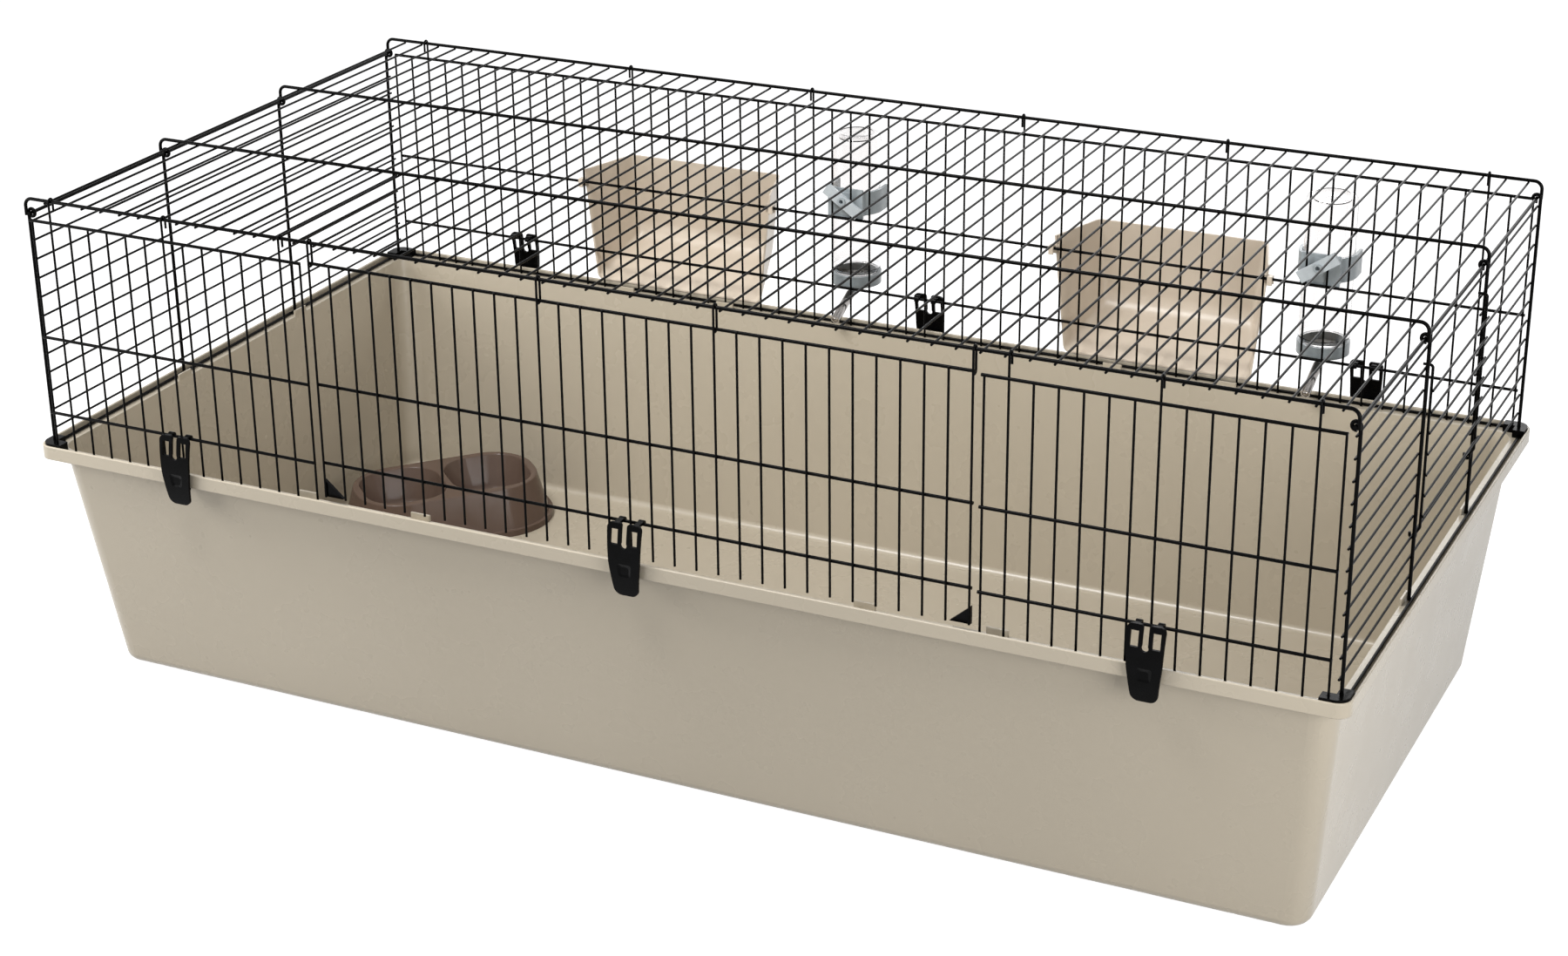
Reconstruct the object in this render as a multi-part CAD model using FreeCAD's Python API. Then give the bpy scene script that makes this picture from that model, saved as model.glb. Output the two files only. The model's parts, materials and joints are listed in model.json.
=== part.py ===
import FreeCAD, Part
import math
import os

Vec = FreeCAD.Vector

# Millimetres. X runs along the cage, the front faces -Y, Z is up from the tray's underside.

# Tray
TRAY_LENGTH = 1560.0
TRAY_WIDTH = 775.0
RIM_TOP = 295.0
RIM_CORNER = 16.0
RIM_EDGE = 1.0
SKIRT_HEIGHT = 16.0
SKIRT_WALL = 3.0
GROOVE_WIDTH = 15.0
GROOVE_DEPTH = 7.0
TRAY_WALL = 3.0
BASE_LENGTH = 1476.0
BASE_WIDTH = 662.0
WALL_CORNER = 26.0
FOOT_FILLET = 12.0
TAB_LENGTH = 24.0
TAB_WALL = 2.4
TAB_RISE = 0.5
TAB_GAPS = (10.4, 16.1)

# Wires
MAIN_WIRE = 4.0
BAR_WIRE = 3.6
MESH_WIRE = 2.6
DOOR_WIRE = 3.0
WELD = 0.2
RUN = 0.3
WIRE_INSET = 13.0
WIRE_HEIGHT = 298.0
ROOF_BEND = 9.0
ROOF_LEG = 20.0
ROOF_NUB = 1.0
BAR_END = 2.0
TOP_DROP = 23.0
MID_RISE = 135.0
LOW_RISE = 42.0
GROOVE_LIFT = 0.6

# Front and back panels
SIDE_PANEL_GAPS = 14
DOOR_GAPS = 30
BACK_GAPS = 59
SIDE_GAP = 10.0
DOOR_GAP = 11.7
HOOK_TAIL = 11.0
SIDE_HOOKS = (1, 7, 13)
DOOR_LOOPS = (0, 11, 19, 30)
BACK_HOOKS = (2, 14, 24, 35, 45, 57)
DOOR_SILL = 2.0

# End panels and the small door in the right end
END_FIRST = 28.0
END_LAST = 18.0
END_ROWS = 12
EYELET_TAIL = 1.0
DOOR_TOP_ROW = 1
DOOR_HINGE_ROW = 9
DOOR_BAR_STEP = 6.5
LATCH_LIFT = 0.6

# Corner connectors and door corner gussets
CONNECTOR_LEG = 28.0
CONNECTOR_RISE = 2.5
CONNECTOR_WIDTH = 14.0
GUSSET_LEG = 22.0
GUSSET_RISE = 20.0
GUSSET_WALL = 4.0

# Clips, the back ones placed by gaps of the back panel from its middle
CLIP_WALL = 3.0
CLIP_ARCH = 5.0
CLIP_TOP = 4.5
CLIP_WIDTH = 41.0
CLIP_WAIST = 37.0
CLIP_FOOT = 27.0
CLIP_BELOW_RIM = 21.0
CLIP_GAP = 1.0
CLIP_LIP = 3.5
CLIP_LIP_WALL = 2.6
CLIP_LIP_GAP = 1.2
CLIP_HOOK_OFFSET = 11.5
CLIP_HOOK_WIDTH = 6.0
CLIP_HOOK_WALL = 2.4
CLIP_WINDOW_WIDTH = 8.5
CLIP_WINDOW_DEPTH = 19.0
CLIP_SLOT_WIDTH = 6.4
CLIP_SLOT_DEPTH = 19.0
CLIP_SLOT_END = 7.6
CLIP_DISH = 17.0
CLIP_DISH_FLOOR = 9.0
CLIP_DISH_CORNER = 2.5
CLIP_DISH_DEPTH = 2.0
CLIP_CORNER = 6.0
CLIP_SLOT_CORNER = 3.0
CLIP_FOOT_CORNER = 9.0
CLIP_LIP_WIDTH = 21.0
BACK_CLIP_GAPS = (-22.5, 0.5, 22.5)

# Hay racks, placed by gaps of the back panel from its middle
RACK_GAPS = (-13.3, 12.4)
RACK_HOOK_GAPS = 5.4
RACK_DEPTH = 84.0
RACK_BOTTOM_RISE = 1.0
RACK_TOP_RISE = 151.0
RACK_KNEE_RISE = 43.0
RACK_KNEE_ROUND = 30.0
RACK_CORNER = 10.0
RACK_WALL = 2.4
RACK_SIDE_SLANT = 27.0
RACK_SIDE_TAPER = 16.0
RACK_STANDOFF = 1.0
RACK_HOOK_WIDTH = 6.0
RACK_HOOK_WALL = 2.0
RACK_HOOK_DROP = 7.0
RACK_HOOK_CLEAR = 1.0

# Bottles, placed by gaps of the back panel from its middle
BOTTLE_GAPS = (-3.9, 20.1)
BOTTLE_DIAMETER = 63.0
BOTTLE_WALL = 1.2
BOTTLE_LENGTH = 184.0
BOTTLE_SHOULDER = 6.0
BOTTLE_NECK_DIAMETER = 55.0
BOTTLE_CROWN = 9.0
BOTTLE_DIMPLE_DIAMETER = 42.0
BOTTLE_DIMPLE_DEPTH = 6.0
CAP_DIAMETER = 64.0
CAP_RISE = 40.0
CAP_HEIGHT = 15.0
CAP_FLOOR = 3.0
SEAL_THICKNESS = 2.5
NECK_CLEAR = 0.3
NOZZLE_DIAMETER = 9.4
NOZZLE_BORE = 6.6
NOZZLE_LENGTH = 30.0
NOZZLE_STUB = 4.0
NOZZLE_BEND = 6.5
SPOUT_DIAMETER = 11.6
SPOUT_OVERLAP = 10.0
SPOUT_REACH = 66.0
SPOUT_TIP_RISE = 8.0
SPOUT_LIP = 1.0
SPOUT_MOUTH = 7.6
BALL_DIAMETER = 8.6
BALL_CLEAR = 0.1

# Bottle brackets
BRACKET_CLEAR = 0.3
BRACKET_RING_WALL = 4.0
BRACKET_RING_RISE = 4.0
BRACKET_RING_HEIGHT = 30.0
BRACKET_ARM = 18.0
BRACKET_PLATE_WIDTH = 48.0
BRACKET_PLATE_RISE = 1.0
BRACKET_PLATE_HEIGHT = 38.0
BRACKET_PLATE_WALL = 3.0
BRACKET_STANDOFF = 0.6
BUTTON_LENGTH = 54.0
BUTTON_WIDTH = 15.0
BUTTON_WALL = 4.0
BUTTON_CLEAR = 0.8
BUTTON_TILTS = (34.0, -34.0)
BUTTON_RISE = 25.0
PIN_DIAMETER = 8.0
PIN_HEAD_DIAMETER = 11.0
PIN_HEAD = 1.6
PIN_BORE = 5.6
PIN_BORE_DEPTH = 7.0
PIN_RUN = 0.08

# Double bowl
BOWL_FROM_LEFT = 189.0
BOWL_FROM_BACK = 206.5
BOWL_TURN = 48.0
BOWL_HEIGHT = 60.0
BOWL_LENGTH = 272.0
BOWL_WIDTH = 166.0
BOWL_TOP_LENGTH = 244.0
BOWL_TOP_WIDTH = 132.0
BOWL_CORNER = 74.0
BOWL_TOP_CORNER = 59.0
BOWL_LIP = 5.0
BOWL_LIP_HEIGHT = 8.0
BOWL_WELL_LENGTH = 108.0
BOWL_WELL_WIDTH = 112.0
BOWL_WELL_FLOOR = 74.0
BOWL_WELL_PITCH = 116.0
BOWL_WELL_DEPTH = 46.0
BOWL_WELL_CORNER = 40.0
BOWL_WELL_FILLET = 12.0
BOWL_FLOOR_CORNER = 29.0
BOWL_EDGE = 2.0
BOWL_WALL = 2.6

# Values worked out from those above
MAIN_R = MAIN_WIRE / 2
BAR_R = BAR_WIRE / 2
MESH_R = MESH_WIRE / 2
DOOR_R = DOOR_WIRE / 2
Y_ROOF = TRAY_WIDTH / 2 - WIRE_INSET
X_ROOF = TRAY_LENGTH / 2 - WIRE_INSET
HOOK_R = MAIN_R + RUN + MESH_R
ROOF_AXIS = RIM_TOP + WIRE_HEIGHT
GROOVE_FLOOR = RIM_TOP - GROOVE_DEPTH
SKIRT_BOTTOM = RIM_TOP - SKIRT_HEIGHT
FRONT_GAPS = 2 * SIDE_PANEL_GAPS + DOOR_GAPS
PITCH = 2 * (X_ROOF - SIDE_GAP - DOOR_GAP) / FRONT_GAPS
TOP_BAR = ROOF_AXIS - TOP_DROP
MID_BAR = RIM_TOP + MID_RISE
LOW_BAR = RIM_TOP + LOW_RISE
SILL_BAR = GROOVE_FLOOR + GROOVE_LIFT + BAR_R
MESH_FOOT = GROOVE_FLOOR + GROOVE_LIFT
BAR_STEP = MESH_R + BAR_R - WELD
MESH_OUT = Y_ROOF + HOOK_R
BAR_OUT = MESH_OUT + BAR_STEP
DOOR_BAR_OUT = MESH_OUT - BAR_STEP
X_END_CROSS = X_ROOF - MAIN_WIRE + WELD
Z_END_CROSS = ROOF_AXIS - ROOF_LEG + MAIN_R
EYELET_R = MAIN_WIRE + RUN
X_UPRIGHT = X_END_CROSS + EYELET_R
UPRIGHT_STEP = MAIN_WIRE + 2 * RUN
X_END_MESH = X_UPRIGHT - MAIN_R - MESH_R + WELD
X_END_SILL = X_UPRIGHT + MAIN_R + BAR_R - WELD
ROOF_LINES = (-Y_ROOF, -Y_ROOF / 3, Y_ROOF / 3, Y_ROOF)
END_PITCH = (WIRE_HEIGHT - END_FIRST - END_LAST) / (END_ROWS - 1)
CAP_BOTTOM = RIM_TOP + CAP_RISE
CAP_TOP = CAP_BOTTOM + CAP_HEIGHT
BOTTLE_TOP = CAP_TOP + BOTTLE_LENGTH
BUTTON_Z = MID_BAR + BUTTON_RISE
RACK_Y = BAR_OUT + BAR_R + RACK_STANDOFF


def box(x0, x1, y0, y1, z0, z1):
    return Part.makeBox(x1 - x0, y1 - y0, z1 - z0, Vec(x0, y0, z0))


def straight_wire(start, end, radius):
    run = end - start
    return Part.makeCylinder(radius, run.Length, start, run)


def corner_arc(before, corner, after, bend):
    """The start, middle and end of the arc that rounds a polyline's corner."""
    into = (corner - before).normalize()
    away = (after - corner).normalize()
    turn = into.getAngle(away)
    trim = bend * math.tan(turn / 2)
    inward = (away - into).normalize()
    middle = corner + inward * (bend / math.cos(turn / 2) - bend)
    return corner - into * trim, middle, corner + away * trim


def bent_wire(points, bend, radius):
    """A round wire along a polyline whose corners are tangent arcs of one radius."""
    edges = []
    start = points[0]
    for before, corner, after in zip(points, points[1:], points[2:]):
        arc_start, middle, arc_end = corner_arc(before, corner, after, bend)
        if (arc_start - start).Length > 1e-6:
            edges.append(Part.LineSegment(start, arc_start).toShape())
        edges.append(Part.Arc(arc_start, middle, arc_end).toShape())
        start = arc_end
    if (points[-1] - start).Length > 1e-6:
        edges.append(Part.LineSegment(start, points[-1]).toShape())
    path = Part.Wire(edges)
    section = Part.Wire(Part.makeCircle(radius, points[0], points[1] - points[0]))
    return path.makePipeShell([section], True, False)


def rounded_loop(length, width, corner, z):
    """A closed rounded rectangle around the Z axis."""
    x = length / 2
    y = width / 2
    diag = corner * (1 - math.sqrt(0.5))
    edges = []
    for sx, sy, swap in ((1, -1, False), (1, 1, True), (-1, 1, False), (-1, -1, True)):
        along_x = Vec(sx * (x - corner), sy * y, z)
        along_y = Vec(sx * x, sy * (y - corner), z)
        middle = Vec(sx * (x - diag), sy * (y - diag), z)
        first, last = (along_y, along_x) if swap else (along_x, along_y)
        edges.append((first, middle, last))
    loop = []
    for index, (first, middle, last) in enumerate(edges):
        loop.append(Part.Arc(first, middle, last).toShape())
        following = edges[(index + 1) % 4][0]
        if (following - last).Length > 1e-6:
            loop.append(Part.LineSegment(last, following).toShape())
    return Part.Wire(loop)


def rounded_prism(length, width, corner, z0, z1):
    face = Part.Face(rounded_loop(length, width, corner, z0))
    return face.extrude(Vec(0, 0, z1 - z0))


def tapered_block(low, high):
    """A loft between two rounded rectangles given as (length, width, corner, z)."""
    return Part.makeLoft([rounded_loop(*low), rounded_loop(*high)], True, True)


def level_edges(solid, z):
    return [e for e in solid.Edges if all(abs(v.Z - z) < 1e-6 for v in e.Vertexes)]


def through_edges(plate, z):
    """The edges at one height that run through a plate's thickness along Y."""
    ends = [(e, e.Vertexes[0].Point, e.Vertexes[-1].Point) for e in plate.Edges]
    return [e for e, a, b in ends if abs(a.z - z) < 1e-6 and abs(b.z - z) < 1e-6 and abs(a.y - b.y) > 1e-6]


def polygon_prism(points, sweep):
    closed = list(points) + [points[0]]
    return Part.Face(Part.makePolygon(closed)).extrude(sweep)


def make_tray():
    lip = SKIRT_WALL + GROOVE_WIDTH
    ledge_bottom = GROOVE_FLOOR - TRAY_WALL
    outer_top = (TRAY_LENGTH - 2 * (lip - TRAY_WALL), TRAY_WIDTH - 2 * (lip - TRAY_WALL), WALL_CORNER)
    outer = tapered_block((BASE_LENGTH, BASE_WIDTH, WALL_CORNER, 0), outer_top + (GROOVE_FLOOR,))
    outer = outer.makeFillet(FOOT_FILLET, level_edges(outer, 0))
    inner_corner = WALL_CORNER - TRAY_WALL
    slope = (RIM_TOP - TRAY_WALL) / (GROOVE_FLOOR - TRAY_WALL)
    floor_length = BASE_LENGTH - 2 * TRAY_WALL
    floor_width = BASE_WIDTH - 2 * TRAY_WALL
    mouth_length = floor_length + slope * (TRAY_LENGTH - 2 * lip - floor_length)
    mouth_width = floor_width + slope * (TRAY_WIDTH - 2 * lip - floor_width)
    hollow = tapered_block(
        (floor_length, floor_width, inner_corner, TRAY_WALL),
        (mouth_length, mouth_width, inner_corner, RIM_TOP),
    )
    hollow = hollow.makeFillet(FOOT_FILLET - TRAY_WALL, level_edges(hollow, TRAY_WALL))
    ledge = rounded_prism(TRAY_LENGTH, TRAY_WIDTH, RIM_CORNER, ledge_bottom, GROOVE_FLOOR)
    skirt = rounded_prism(TRAY_LENGTH, TRAY_WIDTH, RIM_CORNER, SKIRT_BOTTOM, RIM_TOP)
    skirt = skirt.cut(rounded_prism(
        TRAY_LENGTH - 2 * SKIRT_WALL, TRAY_WIDTH - 2 * SKIRT_WALL, RIM_CORNER - SKIRT_WALL,
        SKIRT_BOTTOM, RIM_TOP,
    ))
    skirt = skirt.makeFillet(RIM_EDGE, level_edges(skirt, RIM_TOP))
    body = outer.fuse([ledge, skirt]).cut(hollow)
    return body.fuse(rim_tabs(lip)).removeSplitter()


def rim_tabs(lip):
    """Short upright tabs on the groove's inner edge that keep the panels' feet in place."""
    tabs = []
    low = GROOVE_FLOOR - TRAY_WALL / 2
    high = RIM_TOP + TAB_RISE
    y_edge = TRAY_WIDTH / 2 - lip
    x_edge = TRAY_LENGTH / 2 - lip
    half = TAB_LENGTH / 2
    for gaps in TAB_GAPS:
        for middle in (-gaps * PITCH, gaps * PITCH):
            for y in (-y_edge - TAB_WALL, y_edge):
                tabs.append(box(middle - half, middle + half, y, y + TAB_WALL, low, high))
    for middle in ROOF_LINES[1:3]:
        for x in (-x_edge - TAB_WALL, x_edge):
            tabs.append(box(x, x + TAB_WALL, middle - half, middle + half, low, high))
    return tabs


def make_roof():
    wires = []
    foot = ROOF_AXIS - ROOF_LEG
    for y in ROOF_LINES:
        left = [Vec(-X_ROOF, y, foot), Vec(-X_ROOF, y, ROOF_AXIS)]
        right = [Vec(X_ROOF, y, ROOF_AXIS), Vec(X_ROOF, y, foot)]
        wires.append(bent_wire(left + right, ROOF_BEND, MAIN_R))
    z_cross = ROOF_AXIS - MAIN_R - MESH_R + WELD
    reach = Y_ROOF + ROOF_NUB
    count = int((X_ROOF - ROOF_BEND - DOOR_GAP) / PITCH)
    for index in range(-count, count + 1):
        x = index * PITCH + DOOR_GAP / 2
        wires.append(straight_wire(Vec(x, -reach, z_cross), Vec(x, reach, z_cross), MESH_R))
    for side in (-1, 1):
        x = side * X_END_CROSS
        wires.append(straight_wire(Vec(x, -reach, Z_END_CROSS), Vec(x, reach, Z_END_CROSS), MAIN_R))
    return wires


def row_height(row):
    return ROOF_AXIS - END_FIRST - row * END_PITCH


def upright_lines():
    return [y - math.copysign(UPRIGHT_STEP, y) for y in ROOF_LINES]


def make_end_panel(side, has_door):
    wires = []
    x_out = side * X_UPRIGHT
    x_in = side * (X_END_CROSS - EYELET_R)
    x_pin = side * X_END_CROSS
    for y in upright_lines():
        route = [
            Vec(x_out, y, MESH_FOOT),
            Vec(x_out, y, Z_END_CROSS + EYELET_R),
            Vec(x_in, y, Z_END_CROSS + EYELET_R),
            Vec(x_in, y, Z_END_CROSS - EYELET_R),
            Vec(x_pin + side * EYELET_TAIL, y, Z_END_CROSS - EYELET_R),
        ]
        wires.append(bent_wire(route, EYELET_R, MAIN_R))
    x_mesh = side * X_END_MESH
    reach = upright_lines()[3] + BAR_END
    door_edge = upright_lines()[2] - BAR_END
    for row in range(END_ROWS):
        z = row_height(row)
        if has_door and DOOR_TOP_ROW < row < DOOR_HINGE_ROW:
            spans = ((-reach, -door_edge), (door_edge, reach))
        else:
            spans = ((-reach, reach),)
        for y0, y1 in spans:
            wires.append(straight_wire(Vec(x_mesh, y0, z), Vec(x_mesh, y1, z), MESH_R))
    x_sill = side * X_END_SILL
    wires.append(straight_wire(Vec(x_sill, -Y_ROOF, SILL_BAR), Vec(x_sill, Y_ROOF, SILL_BAR), BAR_R))
    return wires


def make_end_door():
    """The small drop-down door between the right end's middle uprights."""
    x_bar = X_UPRIGHT + MAIN_R + RUN + DOOR_R
    x_mesh = x_bar + DOOR_R + MESH_R - WELD
    y_bar = upright_lines()[2] - DOOR_BAR_STEP
    z_hinge = row_height(DOOR_HINGE_ROW)
    z_latch = row_height(DOOR_TOP_ROW) + MESH_R + LATCH_LIFT + DOOR_R
    curl = MESH_R + RUN + DOOR_R
    jog = z_hinge + 3 * curl
    wires = []
    for y in (-y_bar, y_bar):
        route = [
            Vec(X_END_MESH - curl, y, z_hinge + curl),
            Vec(X_END_MESH - curl, y, z_hinge - curl),
            Vec(X_END_MESH + curl, y, z_hinge - curl),
            Vec(X_END_MESH + curl, y, z_hinge + curl),
            Vec(x_bar, y, jog),
            Vec(x_bar, y, z_latch),
            Vec(X_END_MESH - curl, y, z_latch),
        ]
        wires.append(bent_wire(route, curl, DOOR_R))
    reach = y_bar + DOOR_R + BAR_END
    for row in range(DOOR_TOP_ROW + 1, DOOR_HINGE_ROW):
        z = row_height(row)
        wires.append(straight_wire(Vec(x_mesh, -reach, z), Vec(x_mesh, reach, z), MESH_R))
    return wires


def hook_over_roof(x, side, foot):
    """A mesh wire that rises outside the roof wire and hooks over it with a short tail."""
    tail = ROOF_AXIS - HOOK_TAIL
    route = [
        Vec(x, side * (Y_ROOF + HOOK_R), foot),
        Vec(x, side * (Y_ROOF + HOOK_R), ROOF_AXIS + HOOK_R),
        Vec(x, side * (Y_ROOF - HOOK_R), ROOF_AXIS + HOOK_R),
        Vec(x, side * (Y_ROOF - HOOK_R), tail),
    ]
    return bent_wire(route, HOOK_R, MESH_R)


def make_fixed_panel(side, x_first, gaps, hooks):
    wires = []
    y_mesh = side * MESH_OUT
    y_bar = side * BAR_OUT
    for index in range(gaps + 1):
        x = x_first + index * PITCH
        if index in hooks:
            wires.append(hook_over_roof(x, side, MESH_FOOT))
        else:
            wires.append(straight_wire(Vec(x, y_mesh, MESH_FOOT), Vec(x, y_mesh, TOP_BAR), MESH_R))
    x0 = x_first - BAR_END
    x1 = x_first + gaps * PITCH + BAR_END
    for z in (TOP_BAR, MID_BAR, LOW_BAR, SILL_BAR):
        wires.append(straight_wire(Vec(x0, y_bar, z), Vec(x1, y_bar, z), BAR_R))
    return wires


def door_first():
    return -DOOR_GAPS * PITCH / 2


def make_front_door():
    wires = []
    foot = RIM_TOP + DOOR_SILL
    y_mesh = -MESH_OUT
    y_bar = -DOOR_BAR_OUT
    closing = TOP_BAR - BAR_R - RUN - MESH_R
    for index in range(DOOR_GAPS + 1):
        x = door_first() + index * PITCH
        if index in DOOR_LOOPS:
            route = [
                Vec(x, y_mesh, foot),
                Vec(x, y_mesh, ROOF_AXIS + HOOK_R),
                Vec(x, -Y_ROOF + HOOK_R, ROOF_AXIS + HOOK_R),
                Vec(x, -Y_ROOF + HOOK_R, closing),
                Vec(x, y_mesh + MESH_WIRE, closing),
            ]
            wires.append(bent_wire(route, HOOK_R, MESH_R))
        else:
            top = TOP_BAR + BAR_R
            wires.append(straight_wire(Vec(x, y_mesh, foot), Vec(x, y_mesh, top), MESH_R))
    x1 = -door_first() + MESH_R
    for z in (TOP_BAR, MID_BAR, LOW_BAR):
        wires.append(straight_wire(Vec(-x1, y_bar, z), Vec(x1, y_bar, z), BAR_R))
    return wires


def make_gusset(side):
    """The triangular stop at a bottom corner of the front door."""
    x = side * -door_first()
    y = -MESH_OUT + MESH_R
    z = RIM_TOP + DOOR_SILL
    edge = x + side * MESH_R
    corner = [Vec(edge, y, z), Vec(x - side * GUSSET_LEG, y, z), Vec(edge, y, z + GUSSET_RISE)]
    return polygon_prism(corner, Vec(0, GUSSET_WALL, 0))


def make_connector(side_x, side_y):
    """A corner block in the rim's groove with sockets for the wire ends that meet there."""
    x = TRAY_LENGTH / 2 - SKIRT_WALL
    y = TRAY_WIDTH / 2 - SKIRT_WALL
    top = RIM_TOP + CONNECTOR_RISE
    block = rounded_prism(2 * x, 2 * y, RIM_CORNER - SKIRT_WALL, GROOVE_FLOOR, top)
    x_in = x - CONNECTOR_WIDTH
    y_in = y - CONNECTOR_WIDTH
    inside = box(-x_in, x_in, -y_in, y_in, GROOVE_FLOOR, top)
    corner = box(x - CONNECTOR_LEG, x, y - CONNECTOR_LEG, y, GROOVE_FLOOR, top)
    block = block.cut(inside).common(corner)
    panel_end = PITCH * FRONT_GAPS / 2 + DOOR_GAP
    panel_end = BACK_GAPS * PITCH / 2 if side_y > 0 else panel_end
    upright_y = Y_ROOF - UPRIGHT_STEP
    foot = MESH_FOOT - RUN
    sill_end = panel_end + BAR_END + RUN
    sockets = [
        straight_wire(Vec(0, BAR_OUT, SILL_BAR), Vec(sill_end, BAR_OUT, SILL_BAR), BAR_R + RUN),
        straight_wire(Vec(panel_end, MESH_OUT, foot), Vec(panel_end, MESH_OUT, top), MESH_R + RUN),
        straight_wire(Vec(X_UPRIGHT, upright_y, foot), Vec(X_UPRIGHT, upright_y, top), MAIN_R + RUN),
        straight_wire(Vec(X_END_SILL, 0, SILL_BAR), Vec(X_END_SILL, Y_ROOF + RUN, SILL_BAR), BAR_R + RUN),
    ]
    block = block.cut(sockets)
    if side_x < 0:
        block = block.mirror(Vec(0, 0, 0), Vec(1, 0, 0))
    if side_y < 0:
        block = block.mirror(Vec(0, 0, 0), Vec(0, 1, 0))
    return block


def clip_plate(inner, foot):
    """The clip's arched plate, rounded at its foot and split by a keyhole slot at its top."""
    middle = (CLIP_TOP + foot) / 2
    half_height = (CLIP_TOP - foot) / 2
    radius = (half_height ** 2 + CLIP_ARCH ** 2) / (2 * CLIP_ARCH)
    face = inner + CLIP_ARCH + CLIP_WALL
    right = [(CLIP_WIDTH / 2, CLIP_TOP), (CLIP_WAIST / 2, foot / 2), (CLIP_FOOT / 2, foot)]
    left = [(-px, pz) for px, pz in reversed(right)]
    plate = polygon_prism([Vec(px, -face, pz) for px, pz in right + left], Vec(0, face, 0))
    plate = plate.makeFillet(CLIP_FOOT_CORNER, through_edges(plate, foot))
    plate = plate.makeFillet(CLIP_CORNER, through_edges(plate, CLIP_TOP))
    half_slot = CLIP_SLOT_WIDTH / 2
    slot = box(-half_slot, half_slot, -face, 0, -CLIP_SLOT_DEPTH, CLIP_TOP)
    slot_end = Part.makeCylinder(CLIP_SLOT_END / 2, face, Vec(0, -face, -CLIP_SLOT_DEPTH), Vec(0, 1, 0))
    plate = plate.cut([slot, slot_end])
    mouth = [e for e in through_edges(plate, CLIP_TOP) if abs(abs(e.Vertexes[0].X) - half_slot) < 1e-6]
    plate = plate.makeFillet(CLIP_SLOT_CORNER, mouth)
    centre = Vec(-CLIP_WIDTH, radius - inner - CLIP_ARCH, middle)
    across = Vec(1, 0, 0)
    bend = Part.makeCylinder(radius + CLIP_WALL, 2 * CLIP_WIDTH, centre, across)
    bend = bend.cut(Part.makeCylinder(radius, 2 * CLIP_WIDTH, centre, across))
    return plate.common(bend)


def clip_dish(inner, foot):
    """The tapered square finger dish in the clip's outer face."""
    low = (CLIP_DISH_FLOOR, CLIP_DISH_FLOOR, CLIP_DISH_CORNER, 0)
    high = (CLIP_DISH, CLIP_DISH, CLIP_DISH_CORNER, CLIP_DISH_DEPTH)
    dish = tapered_block(low, high)
    dish = dish.fuse(rounded_prism(CLIP_DISH, CLIP_DISH, CLIP_DISH_CORNER, CLIP_DISH_DEPTH, CLIP_ARCH))
    dish.rotate(Vec(0, 0, 0), Vec(1, 0, 0), 90)
    dish.translate(Vec(0, CLIP_DISH_DEPTH - inner - CLIP_ARCH - CLIP_WALL, (foot - CLIP_WINDOW_DEPTH) / 2))
    return dish


def make_clip(x, side, bar_out):
    """A swinging clip that hangs on a low bar and catches under the tray's rim."""
    reach = TRAY_WIDTH / 2 - bar_out
    inner = reach + CLIP_GAP
    lip_top = SKIRT_BOTTOM - CLIP_LIP_GAP - LOW_BAR
    foot = SKIRT_BOTTOM - CLIP_BELOW_RIM - LOW_BAR
    face = inner + CLIP_ARCH + CLIP_WALL
    half_window = CLIP_WINDOW_WIDTH / 2
    cuts = [clip_dish(inner, foot)]
    hooks = []
    hook_in = BAR_R + RUN
    hook_out = hook_in + CLIP_HOOK_WALL
    seat = inner + CLIP_WALL / 2
    for middle in (-CLIP_HOOK_OFFSET, CLIP_HOOK_OFFSET):
        w0 = middle - half_window
        w1 = middle + half_window
        cuts.append(box(w0, w1, -face, -reach, -CLIP_WINDOW_DEPTH, -hook_in))
        x0 = middle - CLIP_HOOK_WIDTH / 2
        x1 = middle + CLIP_HOOK_WIDTH / 2
        start = Vec(x0, 0, 0)
        across = Vec(1, 0, 0)
        ring = Part.makeCylinder(hook_out, CLIP_HOOK_WIDTH, start, across)
        ring = ring.cut(box(x0, x1, -hook_out, hook_out, -hook_out, 0))
        bridge = box(x0, x1, -seat, 0, 0, hook_in + CLIP_HOOK_WALL / 2)
        leg = box(x0, x1, hook_in, hook_out, -hook_in, 0)
        wire_room = Part.makeCylinder(hook_in, CLIP_HOOK_WIDTH, start, across)
        hooks.append(ring.fuse([bridge, leg]).cut(wire_room))
    half_lip = CLIP_LIP_WIDTH / 2
    lip = box(-half_lip, half_lip, -inner - CLIP_ARCH, -reach + CLIP_LIP, lip_top - CLIP_LIP_WALL, lip_top)
    clip = clip_plate(inner, foot).cut(cuts).fuse(hooks + [lip]).removeSplitter()
    if side > 0:
        clip = clip.mirror(Vec(0, 0, 0), Vec(0, 1, 0))
    clip.translate(Vec(x, side * bar_out, LOW_BAR))
    return clip


def rack_plan(half, y0, z):
    """The bin's level outline at one height: wider at the wires and towards the top."""
    front = half + RACK_SIDE_TAPER * (z - MID_BAR) / (RACK_TOP_RISE - RACK_BOTTOM_RISE)
    lean = RACK_SIDE_SLANT / RACK_DEPTH
    y1 = RACK_Y + RACK_DEPTH
    near = front + lean * (RACK_Y - y0)
    far = front - RACK_SIDE_SLANT
    corners = [Vec(-near, y0, z), Vec(near, y0, z), Vec(far, y1, z), Vec(-far, y1, z)]
    return Part.makePolygon(corners + [corners[0]])


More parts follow.
